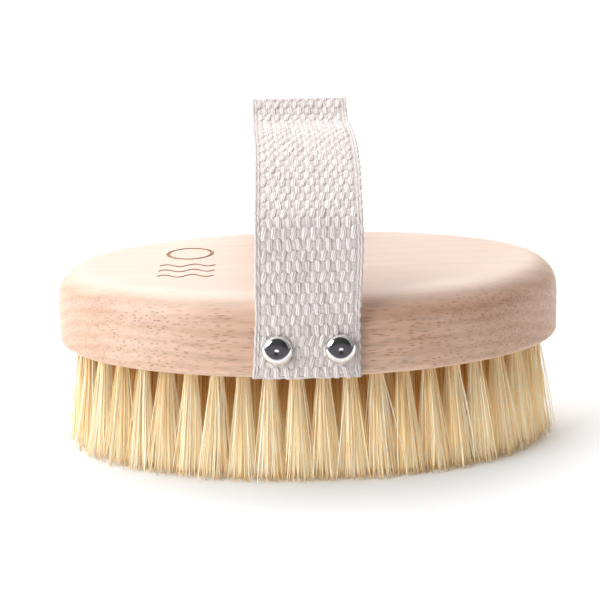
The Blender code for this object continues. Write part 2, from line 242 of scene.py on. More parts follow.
def beech_material():
    """Bare sanded beech: long grain along X, dark flecks on the sides, paler where it lies flat, partly
    the wood's own face and partly painted light.
    """
    made, tree, shader = new_material("beech_finish")
    broad = noise(tree, mapped(tree, (6.0, 40.0, 55.0)), 1.0, 3.0, 0.55, 0.6)
    fine = noise(tree, mapped(tree, (25.0, 900.0, 900.0)), 1.0, 3.0, 0.6)
    blotch = noise(tree, mapped(tree, (28.0, 45.0, 45.0)), 1.0, 2.0)
    base = ramp(tree, broad, [(0.30, (0.63, 0.37, 0.255)), (0.50, (0.71, 0.455, 0.33)),
                              (0.70, (0.77, 0.525, 0.395))])
    streaks = ramp(tree, fine, [(0.30, 0.80), (0.55, 1.0), (0.8, 1.05)])
    toned = mix(tree, "MULTIPLY", 0.8, base, streaks)
    rings = node(tree, "ShaderNodeTexWave", {"Scale": 95.0, "Distortion": 5.0, "Detail": 2.0,
                                             "Detail Scale": 0.7}, wave_type="RINGS")
    place = node(tree, "ShaderNodeTexCoord")
    heart = node(tree, "ShaderNodeMapping", {"Location": (0.03, 0.035, 0.02), "Scale": (0.16, 1.0, 1.0)})
    link(tree, place.outputs["Object"], heart.inputs["Vector"])
    link(tree, heart.outputs["Vector"], rings.inputs["Vector"])
    growth = ramp(tree, rings.outputs["Fac"], [(0.0, (0.90, 0.85, 0.80)), (0.6, (1.0, 1.0, 1.0)),
                                               (1.0, (1.03, 1.03, 1.04))])
    toned = mix(tree, "MULTIPLY", 0.75, toned, growth)
    clouds = ramp(tree, blotch, [(0.35, (0.95, 0.93, 0.91)), (0.65, (1.03, 1.03, 1.04))])
    toned = mix(tree, "MULTIPLY", 0.9, toned, clouds)

    cells = node(tree, "ShaderNodeTexVoronoi", {"Scale": 1.0, "Randomness": 1.0})
    link(tree, mapped(tree, (125.0, 1500.0, 1600.0), rotation=(0, 0.04, 0)), cells.inputs["Vector"])
    dash = ramp(tree, cells.outputs["Distance"], [(0.18, 0.9), (0.36, 0.0)])
    patches = noise(tree, mapped(tree, (60.0, 260.0, 260.0)), 1.0)
    chosen = ramp(tree, patches, [(0.30, 0.35), (0.60, 1.0)])
    facing = node(tree, "ShaderNodeNewGeometry")
    split = node(tree, "ShaderNodeSeparateXYZ")
    link(tree, facing.outputs["True Normal"], split.inputs["Vector"])
    upward = maths(tree, "ABSOLUTE", split.outputs["Z"])
    on_side = ramp(tree, upward, [(0.35, 1.0), (0.95, 0.22)])
    fleck = mix(tree, "MULTIPLY", 1.0, dash, chosen)
    fleck = mix(tree, "MULTIPLY", 1.0, fleck, on_side)
    toned = mix(tree, "MIX", fleck, toned, (0.42, 0.21, 0.135))
    # Painted light: top and underside are mixed toward a pale colour by the face's direction, partly the
    # wood's own paler face and partly painted light.
    flat_painted_light_share = ramp(tree, upward, [(0.5, 0.0), (1.0, 0.62)])
    paler_flat_and_painted_light = mix(tree, "MIX", flat_painted_light_share, toned, (0.88, 0.735, 0.635))
    link(tree, paler_flat_and_painted_light, shader.inputs["Base Color"])
    shader.inputs["Roughness"].default_value = 0.42
    shader.inputs["Specular IOR Level"].default_value = 0.5
    height = mix(tree, "MIX", 0.35, streaks, mix(tree, "DIFFERENCE", 1.0, (1.0, 1.0, 1.0), fleck))
    bump(tree, shader, height, 0.00006, 0.5)
    return made


def burnt_material():
    """The scorched floor of the branded mark."""
    made, tree, shader = new_material("burnt_mark")
    shade = noise(tree, mapped(tree, (700.0, 700.0, 700.0)), 1.0, 3.0)
    colour = ramp(tree, shade, [(0.3, (0.30, 0.145, 0.08)), (0.7, (0.50, 0.29, 0.18))])
    link(tree, colour, shader.inputs["Base Color"])
    shader.inputs["Roughness"].default_value = 0.8
    bump(tree, shader, shade, 0.00005, 0.6)
    return made


def hole_material():
    """Wood inside the tuft holes, coloured darker than the block's faces."""
    made, tree, shader = new_material("drilled_beech")
    shade = noise(tree, mapped(tree, (300.0, 300.0, 1800.0)), 1.0, 2.0)
    colour = ramp(tree, shade, [(0.3, (0.42, 0.26, 0.16)), (0.7, (0.60, 0.40, 0.26))])
    link(tree, colour, shader.inputs["Base Color"])
    shader.inputs["Roughness"].default_value = 0.85
    return made


def fibre_material(name, tones):
    """Plant fibre with its own tone, which also carries painted shade along each fibre; an emission glow
    is painted light, standing in for light through thin fibres.
    """
    made, tree, shader = new_material(name)
    tone = node(tree, "ShaderNodeAttribute", attribute_name="tone")
    along = noise(tree, mapped(tree, (500.0, 500.0, 90.0)), 1.0, 3.0)
    colour = ramp(tree, tone.outputs["Fac"], list(zip((0.0, 0.25, 0.6, 1.0), tones)))
    worn = ramp(tree, along, [(0.3, 0.86), (0.7, 1.04)])
    fibre_colour_with_painted_shade = mix(tree, "MULTIPLY", 0.6, colour, worn)
    link(tree, fibre_colour_with_painted_shade, shader.inputs["Base Color"])
    # Painted light: emission in the fibre's own colour, scaled by the glow attribute.
    glow = node(tree, "ShaderNodeAttribute", attribute_name="glow")
    link(tree, fibre_colour_with_painted_shade, shader.inputs["Emission Color"])
    link(tree, glow.outputs["Fac"], shader.inputs["Emission Strength"])
    shader.inputs["Roughness"].default_value = 0.48
    shader.inputs["Specular IOR Level"].default_value = 0.4
    bump(tree, shader, along, 0.00003, 0.4)
    return made


def cotton_material(name, dark, light):
    """Undyed cotton yarn, with the twist of its strands along each float."""
    made, tree, shader = new_material(name)
    tone = node(tree, "ShaderNodeAttribute", attribute_name="tone")
    colour = ramp(tree, tone.outputs["Fac"], [(0.0, dark), (1.0, light)])
    twist = node(tree, "ShaderNodeTexWave", {"Scale": 1.0, "Distortion": 3.0, "Detail": 2.0,
                                             "Detail Scale": 1.6}, bands_direction="X")
    link(tree, mapped(tree, (900.0, 160.0, 1.0), "UV", (0, 0, 0.25)), twist.inputs["Vector"])
    fuzz = noise(tree, mapped(tree, (2600.0, 2600.0, 2600.0)), 1.0, 3.0, 0.65)
    strands = ramp(tree, twist.outputs["Fac"], [(0.1, 0.76), (0.7, 1.03)])
    lint = ramp(tree, fuzz, [(0.3, 0.93), (0.7, 1.04)])
    toned = mix(tree, "MULTIPLY", 0.85, colour, strands)
    link(tree, mix(tree, "MULTIPLY", 0.9, toned, lint), shader.inputs["Base Color"])
    shader.inputs["Roughness"].default_value = 0.92
    shader.inputs["Specular IOR Level"].default_value = 0.15
    shader.inputs["Sheen Weight"].default_value = 0.25
    shader.inputs["Sheen Roughness"].default_value = 0.5
    height = mix(tree, "MIX", 0.4, twist.outputs["Fac"], fuzz)
    bump(tree, shader, height, 0.00018, 0.9)
    return made


def chrome_material():
    made, tree, shader = new_material("polished_chrome")
    wear = noise(tree, mapped(tree, (900.0, 900.0, 900.0)), 1.0, 3.0)
    colour = ramp(tree, wear, [(0.3, (0.80, 0.79, 0.78)), (0.7, (0.90, 0.89, 0.88))])
    link(tree, colour, shader.inputs["Base Color"])
    shader.inputs["Metallic"].default_value = 1.0
    rough = ramp(tree, wear, [(0.3, 0.06), (0.75, 0.16)])
    link(tree, rough, shader.inputs["Roughness"])
    bump(tree, shader, wear, 0.00002, 0.15)
    return made


# ---------------------------------------------------------------- mesh helpers

def mesh_object(name, points, faces, materials, tones=None, uvs=None, smooth=True):
    mesh = bpy.data.meshes.new(name)
    mesh.from_pydata([tuple(p) for p in points], [], faces)
    for made in materials:
        mesh.materials.append(made)
    if tones is not None:
        attribute = mesh.attributes.new("tone", "FLOAT", "POINT")
        attribute.data.foreach_set("value", np.asarray(tones, np.float32))
    if uvs is not None:
        layer = mesh.uv_layers.new(name="along_yarn")
        corners = np.empty(len(mesh.loops), np.int32)
        mesh.loops.foreach_get("vertex_index", corners)
        layer.data.foreach_set("uv", np.asarray(uvs, np.float32)[corners].ravel())
    if smooth:
        mesh.shade_smooth()
    made = bpy.data.objects.new(name, mesh)
    bpy.context.scene.collection.objects.link(made)
    return made


def loops_to_mesh(name, loops, materials):
    """Skin closed loops of equal length, with flat ends."""
    work = bmesh.new()
    rings = [[work.verts.new(point) for point in loop] for loop in loops]
    for lower, upper in zip(rings, rings[1:]):
        for i in range(len(lower)):
            j = (i + 1) % len(lower)
            work.faces.new((lower[i], lower[j], upper[j], upper[i]))
    work.faces.new(rings[0][::-1])
    work.faces.new(rings[-1])
    made = object_from(work, name)
    for material in materials:
        made.data.materials.append(material)
    return made


def oval(half_length, half_width, height, count=OUTLINE_STEPS):
    turns = np.arange(count) * 2 * math.pi / count
    return [(half_length * math.cos(t), half_width * math.sin(t), height) for t in turns]


def side_y(x, offset=0.0):
    """Distance from the middle plane to the block's side, moved outwards by an offset."""
    return (HALF_WIDTH + offset) * np.sqrt(1 - (x / (HALF_LENGTH + offset)) ** 2)


def cut_with(target, cutter):
    boolean = target.modifiers.new("cut", "BOOLEAN")
    boolean.operation = "DIFFERENCE"
    boolean.solver = "EXACT"
    boolean.object = cutter
    bpy.context.view_layer.objects.active = target
    with bpy.context.temp_override(object=target, active_object=target):
        bpy.ops.object.modifier_apply(modifier=boolean.name)
    bpy.data.objects.remove(cutter, do_unlink=True)


# ---------------------------------------------------------------- the block

def root_centres(name):
    """Middle of each tuft's root, from the top ends of a CAD node's stems."""
    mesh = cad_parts[name].data
    tops = [v.co for v in mesh.vertices if v.co.z > ROOT_TOP - 0.1 * MM]
    groups = []
    for point in tops:
        near = [g for g in groups if (g[0] - point).length < 2.2 * ROOT_RADIUS]
        if near:
            near[0].append(point)
        else:
            groups.append([point])
    return [sum(g, Vector()) / len(g) for g in groups]


def block_loops():
    loops = []
    for i in range(6):
        turn = math.pi / 2 * i / 5
        inset = BOTTOM_ROUNDING * (1 - math.sin(turn))
        height = UNDERSIDE + BOTTOM_ROUNDING * (1 - math.cos(turn))
        loops.append(oval(HALF_LENGTH - inset, HALF_WIDTH - inset, height))
    for i in range(17):
        turn = math.pi / 2 * i / 16
        inset = TOP_ROUNDING * (1 - math.cos(turn))
        height = BLOCK_TOP - TOP_ROUNDING * (1 - math.sin(turn))
        loops.append(oval(HALF_LENGTH - inset, HALF_WIDTH - inset, height))
    return loops


def prism(work, outline, low, high):
    bottom = [work.verts.new((x, y, low)) for x, y in outline]
    top = [work.verts.new((x, y, high)) for x, y in outline]
    count = len(outline)
    for i in range(count):
        j = (i + 1) % count
        work.faces.new((bottom[i], bottom[j], top[j], top[i]))
    work.faces.new(bottom[::-1])
    work.faces.new(top)


def object_from(work, name):
    bmesh.ops.recalc_face_normals(work, faces=work.faces[:])
    mesh = bpy.data.meshes.new(name)
    work.to_mesh(mesh)
    work.free()
    made = bpy.data.objects.new(name, mesh)
    bpy.context.scene.collection.objects.link(made)
    return made


def hole_cutter(centres):
    work = bmesh.new()
    for centre in centres:
        turns = [2 * math.pi * i / HOLE_SIDES for i in range(HOLE_SIDES)]
        outline = [(centre.x + HOLE_RADIUS * math.cos(t), centre.y + HOLE_RADIUS * math.sin(t))
                   for t in turns]
        prism(work, outline, UNDERSIDE - MM, ROOT_TOP + HOLE_TOP_GAP)
    return object_from(work, "hole_cutter")


def mark_cutter():
    """A plain ring over three waves, cut as thin strokes into the block's top face."""
    work = bmesh.new()
    low = BLOCK_TOP - MARK_DEPTH
    high = BLOCK_TOP + MM
    steps = 40
    for k in range(2):
        span = [math.pi * k + RING_HALF_TURN * i / steps for i in range(steps + 1)]
        outer, inner = ([(MARK_X + radius * math.cos(t), RING_Y + radius * math.sin(t)) for t in span]
                        for radius in (RING_OUTER, RING_OUTER - MARK_STROKE))
        prism(work, outer + inner[::-1], low, high)
    for y in WAVE_ROWS:
        line = [WAVE_LENGTH * (2 * i / steps - 1) for i in range(steps + 1)]
        wave = [WAVE_HEIGHT * math.sin(2 * math.pi * x / WAVE_LENGTH) for x in line]
        upper = [(MARK_X + x, y + w + MARK_STROKE / 2) for x, w in zip(line, wave)]
        lower = [(MARK_X + x, y + w - MARK_STROKE / 2) for x, w in zip(line, wave)]
        prism(work, lower + upper[::-1], low, high)
    return object_from(work, "mark_cutter")


def make_block(wood, burnt, drilled, centres):
    block = loops_to_mesh("wood_block_finish", block_loops(), [wood, burnt, drilled])
    cut_with(block, mark_cutter())
    cut_with(block, hole_cutter(centres))
    for face in block.data.polygons:
        middle = face.center
        in_mark = abs(middle.x - MARK_X) < 9 * MM and abs(middle.y) < 18 * MM
        if in_mark and BLOCK_TOP - MM < middle.z < BLOCK_TOP - 0.1 * MARK_DEPTH:
            face.material_index = 1
        elif UNDERSIDE + 0.1 * MM < middle.z < ROOT_TOP + MM:
            across = middle.y / (HALF_WIDTH - 4 * MM)
            inside = (middle.x / (HALF_LENGTH - 4 * MM)) ** 2 + across ** 2 < 1
            face.material_index = 2 if inside else 0
        else:
            face.material_index = 0
    block.data.shade_smooth()
    block.data.set_sharp_from_angle(angle=math.radians(32))
    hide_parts("wood_block")
    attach(block, BODY)


# ---------------------------------------------------------------- the tufts

def tuft_fibres(centre, lean, count, tip_radius):
    """Rings of points for each fibre of one tuft: root in its hole, fanned and trimmed tip."""
    index = np.arange(count) + 0.5
    spread = np.sqrt(index / count)
    turn = index * 2.399963 + rng.uniform(0, 6.28)
    across = np.stack([np.cos(turn), np.sin(turn)], 1) * spread[:, None]
    across += rng.normal(0, 0.045, (count, 2))
    stray = (rng.random(count) < STRAY_SHARE)[:, None]
    wild = rng.normal(0, 1, (count, 2)) * (0.14 + 0.38 * stray)
    tip = across * tip_radius * rng.uniform(0.85, 1.12, (count, 1)) + wild * tip_radius * 0.6 + lean
    root = across * ROOT_RADIUS
    bow = rng.normal(0, 0.30 * MM, (count, 2))
    tip_height = rng.uniform(0.0, 0.6, count) * MM + 1.8 * MM * (rng.random(count) ** 6)
    rings = []
    for level in FIBRE_LEVELS:
        grow = max(level, 0.0) ** 1.12
        flat = root + (tip - root) * grow + bow * math.sin(math.pi * max(level, 0.0))
        height = UNDERSIDE - (UNDERSIDE - tip_height) * level
        rings.append(np.column_stack([flat + [centre.x, centre.y], height]))
    return np.stack(rings, 1)


def fibres_to_mesh(name, bundles, surface, painted_shade_along, glow):
    """Three-sided tapering fibres with a closed tip, each with its own tone, plus painted shade along
    its length and painted light as glow.
    """
    lines = np.concatenate(bundles)
    count, levels = lines.shape[:2]
    thickness = FIBRE_RADIUS * rng.uniform(0.75, 1.3, count)
    taper = np.array(FIBRE_TAPER)
    turns = rng.uniform(0, 6.28, count)[:, None] + np.arange(3) * 2 * math.pi / 3
    circle = np.stack([np.cos(turns), np.sin(turns), np.zeros_like(turns)], 2)
    radius = thickness[:, None, None, None] * taper[None, :, None, None]
    points = lines[:, :, None, :] + circle[:, None, :, :] * radius
    points = points.reshape(-1, 3)
    base = np.arange(count)[:, None] * levels * 3
    faces = []
    for level in range(levels - 1):
        for i in range(3):
            j = (i + 1) % 3
            quad = [level * 3 + i, level * 3 + j, level * 3 + 3 + j, level * 3 + 3 + i]
            faces.append(base + np.array(quad))
    quads = np.concatenate(faces).tolist()
    caps = (base + np.array([levels * 3 - 1, levels * 3 - 2, levels * 3 - 3])).tolist()
    tone = np.clip(rng.normal(0.58, 0.2, count), 0, 1)
    # Painted shade along the fibre is added to each fibre's own tone.
    along = np.array(painted_shade_along)
    tones = np.clip(tone[:, None, None] + along[None, :, None] + np.zeros((1, 1, 3)), 0, 1)
    made = mesh_object(name, points, quads + caps, [surface], tones.ravel(), smooth=False)
    share = np.array(FIBRE_GLOW) * glow
    attribute = made.data.attributes.new("glow", "FLOAT", "POINT")
    attribute.data.foreach_set("value", np.tile(np.repeat(share, 3), count).astype(np.float32))
    return made


def make_tufts(pale, shaded_copy):
    """One mesh of fibres for each CAD tuft, and one for each joined group of inner tufts."""
    centres = []
    for name in sorted(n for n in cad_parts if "tuft" in n):
        found = root_centres(name)
        centres += found
        outer = name.startswith("outer")
        bundles = []
        for centre in found:
            lean = Vector((centre.x / HALF_LENGTH ** 2, centre.y / HALF_WIDTH ** 2)).normalized()
            reach = math.hypot(centre.x / HALF_LENGTH, centre.y / HALF_WIDTH)
            amount = OUTER_LEAN + END_LEAN * lean.x ** 2 if outer else OUTER_LEAN * 0.6 * reach
            bundles.append(tuft_fibres(
                centre, np.array(lean) * amount, OUTER_FIBRES if outer else INNER_FIBRES,
                OUTER_TIP_RADIUS if outer else INNER_TIP_RADIUS))
        # Inner tufts take the painted-shade copy of the fibre colours.
        fibres = fibres_to_mesh(name + "_fibres", bundles, pale if outer else shaded_copy,
                                OUTER_SHADE_ALONG_FIBRE if outer else INNER_SHADE_ALONG_FIBRE,
                                OUTER_GLOW if outer else INNER_GLOW)
        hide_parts(name)
        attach(fibres, BODY)
    return centres


def make_anchors(surface, centres):
    """A short folded wire across the bottom of each hole, which holds the tuft's fold."""
    work = bmesh.new()
    for centre in centres:
        arc = [math.pi * i / 6 for i in range(7)]
        line = [Vector((centre.x + 1.1 * MM * math.cos(t), centre.y,
                        ROOT_TOP - 1.5 * MM - 0.9 * MM * math.sin(t))) for t in arc]
        line = [line[0] + ANCHOR_LEG] + line + [line[-1] + ANCHOR_LEG]
        rings = []
        for i, point in enumerate(line):
            along = (line[min(i + 1, len(line) - 1)] - line[max(i - 1, 0)]).normalized()
            out = along.cross(Vector((0, 1, 0)))
            ring = [point + ANCHOR_RADIUS * (out * math.cos(t) + Vector((0, 1, 0)) * math.sin(t))
                    for t in (0.8, 2.37, 3.94, 5.5)]
            rings.append([work.verts.new(p) for p in ring])
        for before, after in zip(rings, rings[1:]):
            for i in range(4):
                j = (i + 1) % 4
                work.faces.new((before[i], before[j], after[j], after[i]))
        work.faces.new(rings[0][::-1])
        work.faces.new(rings[-1])
    anchors = object_from(work, "tuft_anchors")
    anchors.data.materials.append(surface)
    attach(anchors, BODY)


# ---------------------------------------------------------------- the strap

def rounded(points, steps=14):
    """A smooth line through guide points (Catmull-Rom)."""
    padded = [2 * points[0] - points[1]] + points + [2 * points[-1] - points[-2]]
    line = [points[0]]
    for a, b, c, d in zip(padded, padded[1:], padded[2:], padded[3:]):
        for t in np.arange(1, steps + 1) / steps:
            flat = 2 * b + (c - a) * t
            bent = (2 * a - 5 * b + 4 * c - d) * t ** 2 + (3 * b - 3 * c + d - a) * t ** 3
            line.append((flat + bent) / 2)
    return line


class StrapLine:
    """The strap's middle line in the YZ plane, measured along its length from the front end."""

    def __init__(self):
        span = STRAP_PLANE
        peak = LOOP_TOP - STRAP_THICKNESS / 2 - PIVOT_HEIGHT
        crown = peak - SHOULDER_RISE
        guides = [np.array((-span, PIVOT_HEIGHT))]
        for place, rise, shoulder in LOOP_GUIDES:
            height = PIVOT_HEIGHT + rise * crown + shoulder * SHOULDER_RISE
            guides.append(np.array((place * span, height)))
        guides.append(np.array((span, PIVOT_HEIGHT)))
        loop = rounded(guides)
        rise = np.linspace(STRAP_END, PIVOT_HEIGHT, 40)[:-1]
        front = [np.array((-span, z)) for z in rise]
        back = [np.array((span, z)) for z in rise[::-1]]
        line = np.array(front + loop + back)
        steps = np.linalg.norm(np.diff(line, axis=0), axis=1)
        self.travel = np.concatenate([[0.0], np.cumsum(steps)])
        self.line = line
        self.length = self.travel[-1]
        turned = np.gradient(line, self.travel, axis=0)
        turned /= np.linalg.norm(turned, axis=1)[:, None]
        self.outward = np.stack([-turned[:, 1], turned[:, 0]], 1)
        self.pivot = PIVOT_HEIGHT - STRAP_END
        self.hinge = HINGE_HEIGHT - STRAP_END
        past = [self.pivot + distance for distance in SWAY_PAST_PIVOT]
        self.sway_places = np.array([0.0, *past, self.length])
        self.sway = np.array(SWAY_SHIFTS) * MM

    def place(self, along, across, height):
        """World points at distances along, across and out of the strap."""
        along, across, height = np.broadcast_arrays(
            np.asarray(along, float), np.asarray(across, float), np.asarray(height, float))
        s = np.clip(along, 0, self.length)
        y = np.interp(s, self.travel, self.line[:, 0])
        z = np.interp(s, self.travel, self.line[:, 1])
        ny = np.interp(s, self.travel, self.outward[:, 0])
        nz = np.interp(s, self.travel, self.outward[:, 1])
        beyond = along - s
        z = z + np.where(along < 0, beyond, -beyond)
        wide = self.width_factor(s)
        x = across * wide + np.interp(s, self.sway_places, self.sway)
        from_end = np.minimum(s, self.length - s)
        hugging = np.clip((self.hinge + 5 * MM - from_end) / (8 * MM), 0, 1)
        hugging = hugging * hugging * (3 - 2 * hugging)
        limited = np.clip(x, -HALF_LENGTH * 0.5, HALF_LENGTH * 0.5)
        dip = (side_y(limited) - HALF_WIDTH) * hugging
        side = np.where(s < self.length / 2, -1.0, 1.0)
        return np.stack([x, y + ny * height + side * dip, z + nz * height], -1)

    def width_factor(self, s):
        """The webbing is a little narrower where it leaves the block and wider at its cut ends."""
        from_end = np.minimum(s, self.length - s)
        waist = np.exp(-((from_end - self.hinge) / (7 * MM)) ** 2)
        flare = np.exp(-(from_end / (2.0 * MM)) ** 2)
        return 1.0 - 0.022 * waist + 0.028 * flare


class Webbing:
    """Collects the yarn surfaces of one stretch of webbing."""

    def __init__(self, strap):
        self.strap = strap
        self.points, self.faces, self.tones, self.uvs, self.slots = [], [], [], [], []
        self.count = 0

    def grid(self, along, across, height, tone, uv, slot=0, wrap=False):
        """Add a surface from arrays of rows by columns."""
        rows, columns = along.shape
        placed = self.strap.place(along, across, height).reshape(-1, 3)
        self.points.append(placed)
        self.tones.append(np.full(rows * columns, tone))
        self.uvs.append(uv.reshape(-1, 2))
        index = self.count + np.arange(rows * columns).reshape(rows, columns)
        if wrap:
            index = np.concatenate([index, index[:, :1]], 1)
        quads = np.stack([index[:-1, :-1], index[:-1, 1:], index[1:, 1:], index[1:, :-1]], -1)
        self.faces += quads.reshape(-1, 4).tolist()
        self.slots += [slot] * (quads.size // 4)
        self.count += rows * columns

    def float_yarn(self, s, x, face, lean):
        """One float: a pair of twisted strands that rises over the weft and dives at both ends."""
        t = np.linspace(-1, 1, 9)[:, None]
        q = np.linspace(-1, 1, 8)[None, :]
        length = FLOAT_LENGTH * rng.uniform(0.90, 1.08)
        width = FLOAT_WIDTH * rng.uniform(0.86, 1.12)
        belly = np.sqrt(np.clip(1 - np.abs(t) ** 3.2, 0, 1))
        half = width / 2 * (0.50 + 0.50 * belly) * (1 + rng.normal(0, 0.07, (9, 1)))
        turn = q * math.pi / 2 * 1.12
        seam = 0.45 * t * np.sign(lean) + rng.normal(0, 0.12)
        groove = 1 - 0.34 * np.exp(-((q - seam) / 0.17) ** 2)
        crest = FLOAT_HEIGHT * rng.uniform(0.88, 1.06) * (0.10 + 0.90 * belly) * np.cos(turn) * groove
        tone = float(np.clip(rng.normal(0.66, 0.20), 0, 1))
        along = s + t * length / 2 + 0 * q
        across = x + half * np.sin(turn) + t * lean
        uv = np.stack(np.broadcast_arrays(q * width / 2 + x * 3.1, along * 1.7), -1)
        self.grid(along, across, face * (crest + 0.03 * MM), tone, uv)

    def ground(self, start, end):
        """The weft between the floats: a rounded rib across the strap for each row, on both faces."""
        steps = max(int((end - start) / (ROW_PITCH / 6)), 2)
        s = np.linspace(start, end, steps + 1)[:, None]
        x = np.linspace(-1, 1, 57)[None, :] * (STRAP_WIDTH / 2 - 0.6 * MM)
        row = np.cos(math.pi * (s - CUT_MARGIN) / ROW_PITCH)
        rib = np.abs(row) ** 0.55 * (1 - 0.60 * row * np.cos(2 * math.pi * x / COLUMN_PITCH))
        for face in (1, -1):
            uv = np.stack(np.broadcast_arrays(s + 0 * x, x * 2 + 0 * s), -1)
            height = face * (GROUND_HALF + RIB_HEIGHT * rib)
            self.grid(s + 0 * x, x + 0 * s, height, 0.5, uv, slot=1)

    def selvedge(self, start, end):
        """A yarn along each edge, swollen where each weft turns round it."""
        steps = max(int((end - start) / (0.34 * MM)), 4)
        s = np.linspace(start, end, steps + 1)[:, None]
        turn = (np.arange(8) * 2 * math.pi / 8)[None, :]
        for side, inset, share in CORDS:
            phase = side * inset * 4
            swell = 1 + 0.15 * np.sin(2 * math.pi * s / ROW_PITCH + phase)
            swell = swell + 0.07 * np.sin(2 * math.pi * s / ROW_PITCH * 2.37 + phase)
            radius = CORD_RADIUS * share * swell
            wander = 0.09 * MM * np.sin(2 * math.pi * s / ROW_PITCH + phase + 1.2)
            x = side * (STRAP_WIDTH / 2 - inset * MM) + radius * np.cos(turn) + wander
            height = 1.30 * radius * np.sin(turn)
            uv = np.stack(np.broadcast_arrays(turn * 0.5 * MM + 0 * s, s + 0 * turn), -1)
            self.grid(s + 0 * turn, x, height, 0.75, uv, wrap=True)

    def cut_end(self, s):
        """A ragged yarn across the webbing, at a cut end or in a fold."""
        x = np.linspace(-1, 1, 61)[:, None] * (STRAP_WIDTH / 2 - 0.2 * MM)
        turn = (np.arange(8) * 2 * math.pi / 8)[None, :]
        ragged = 1 + 0.16 * np.sin(x * 2600) + 0.12 * np.sin(x * 5900 + 1)
        radius = CUT_END_RADIUS * ragged
        along = s + radius * 0.9 * np.cos(turn) + 0.12 * MM * np.sin(x * 900)
        uv = np.stack(np.broadcast_arrays(turn * 0.5 * MM + 0 * x, x + 0 * turn), -1)
        self.grid(along, x + 0 * turn, radius * 1.05 * np.sin(turn), 0.8, uv, wrap=True)

    def floats(self, start, end):
        rows = int(self.strap.length / ROW_PITCH)
        for row in range(rows + 1):
            s = CUT_MARGIN + row * ROW_PITCH
            if not start <= s < end or s > self.strap.length - CUT_MARGIN:
                continue
            odd = row % 2
            for k in range(-5, 6 - odd):
                x = (k + 0.5 * odd) * COLUMN_PITCH
                if abs(x) > STRAP_WIDTH / 2 - FLOAT_CLEARANCE:
                    continue
                for face in (1, -1):
                    lean = (FLOAT_LEAN if odd else -FLOAT_LEAN) + rng.normal(0, 0.12) * MM
                    self.float_yarn(s + rng.normal(0, 0.12) * MM, x + rng.normal(0, 0.09) * MM,
                                    face, lean)

    def lint(self, start, end):
        """Loose ends of cotton that stand off the faces and the edges."""
        for _ in range(int((end - start) / LINT_SPACING)):
            s = rng.uniform(start, end)
            on_edge = rng.random() < 0.55
            if on_edge:
                x = rng.choice((-1, 1)) * STRAP_WIDTH / 2 * 0.97
            else:
                x = rng.uniform(-0.45, 0.45) * STRAP_WIDTH
            length = rng.uniform(0.6, 1.8) * MM
            heading = rng.uniform(0, 2 * math.pi)
            outwards = math.copysign(1.0, x) * 0.35 * length if on_edge else 0.0
            t = np.array([0.0, 0.5, 1.0])[:, None]
            turn = (np.arange(3) * 2 * math.pi / 3)[None, :]
            radius = 0.035 * MM * (1 - 0.5 * t)
            along = s + length * math.sin(heading) * t + radius * np.cos(turn)
            across = x + (0.5 * length * math.cos(heading) + outwards) * t ** 1.4 + radius * np.sin(turn)
            height = rng.choice((-1, 1)) * (0.3 * MM + 0.45 * MM * np.sin(t * 2.4)) + 0 * turn
            self.grid(along, across, height, 0.9, np.zeros((3, 3, 2)), wrap=True)

    def finish(self, name, materials):
        made = mesh_object(name, np.concatenate(self.points), self.faces, materials,
                           np.concatenate(self.tones), np.concatenate(self.uvs))
        made.data.polygons.foreach_set("material_index", np.array(self.slots, np.int32))
        return made


def make_strap(cotton, ground):
    """Three stretches of webbing, each spanning one joint of the hand loop."""
    strap = StrapLine()
    middle = (strap.hinge + strap.pivot) / 2
    back_pivot = strap.length - strap.pivot
    stretches = {
        "strap_front_weave": (0.0, middle, ["strap_front_tab", "strap_front_leg"]),
        "strap_loop_weave": (middle, back_pivot, ["strap_loop"]),
        "strap_back_weave": (back_pivot, strap.length, ["strap_back_leg", "strap_back_tab"]),
    }
    made = {}
    for name, (start, end, nodes) in stretches.items():
        web = Webbing(strap)
        web.floats(start, end if end < strap.length else end + MM)
        web.ground(start, end)
        web.selvedge(start, end)
        web.lint(start + 2 * MM, end - 2 * MM)
        if start == 0.0:
            web.cut_end(CUT_END_INSET)
        if end == strap.length:
            web.cut_end(strap.length - CUT_END_INSET)
            web.cut_end(back_pivot)  # a weft in the fold, so less of it opens when the loop sways
        piece = web.finish(name, [cotton, ground])
        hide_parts(*nodes)
        made[name] = piece
    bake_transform(made["strap_front_weave"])
    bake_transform(made["strap_loop_weave"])
    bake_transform(made["strap_back_weave"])


# ---------------------------------------------------------------- the nails

def nail_outline():
    """Radius and outward distance along the head: dimple, dome, turned edge and skirt."""
    points = []
    for i in range(31):
        share = 0.97 * i / 30
        hollow = NAIL_DIMPLE_DEPTH * math.exp(-(share * NAIL_RADIUS / NAIL_DIMPLE_RADIUS) ** 2)
        points.append((NAIL_RADIUS * share, NAIL_WALL + NAIL_DOME * (1 - share ** 4.5) - hollow))
    points.append((NAIL_RADIUS * 0.993, NAIL_WALL * 0.75))
    points.append((NAIL_RADIUS, NAIL_WALL * 0.35))
    points.append((NAIL_RADIUS * 0.99, -0.10 * MM))
    points.append((NAIL_RADIUS * 0.93, -0.25 * MM))
    return points


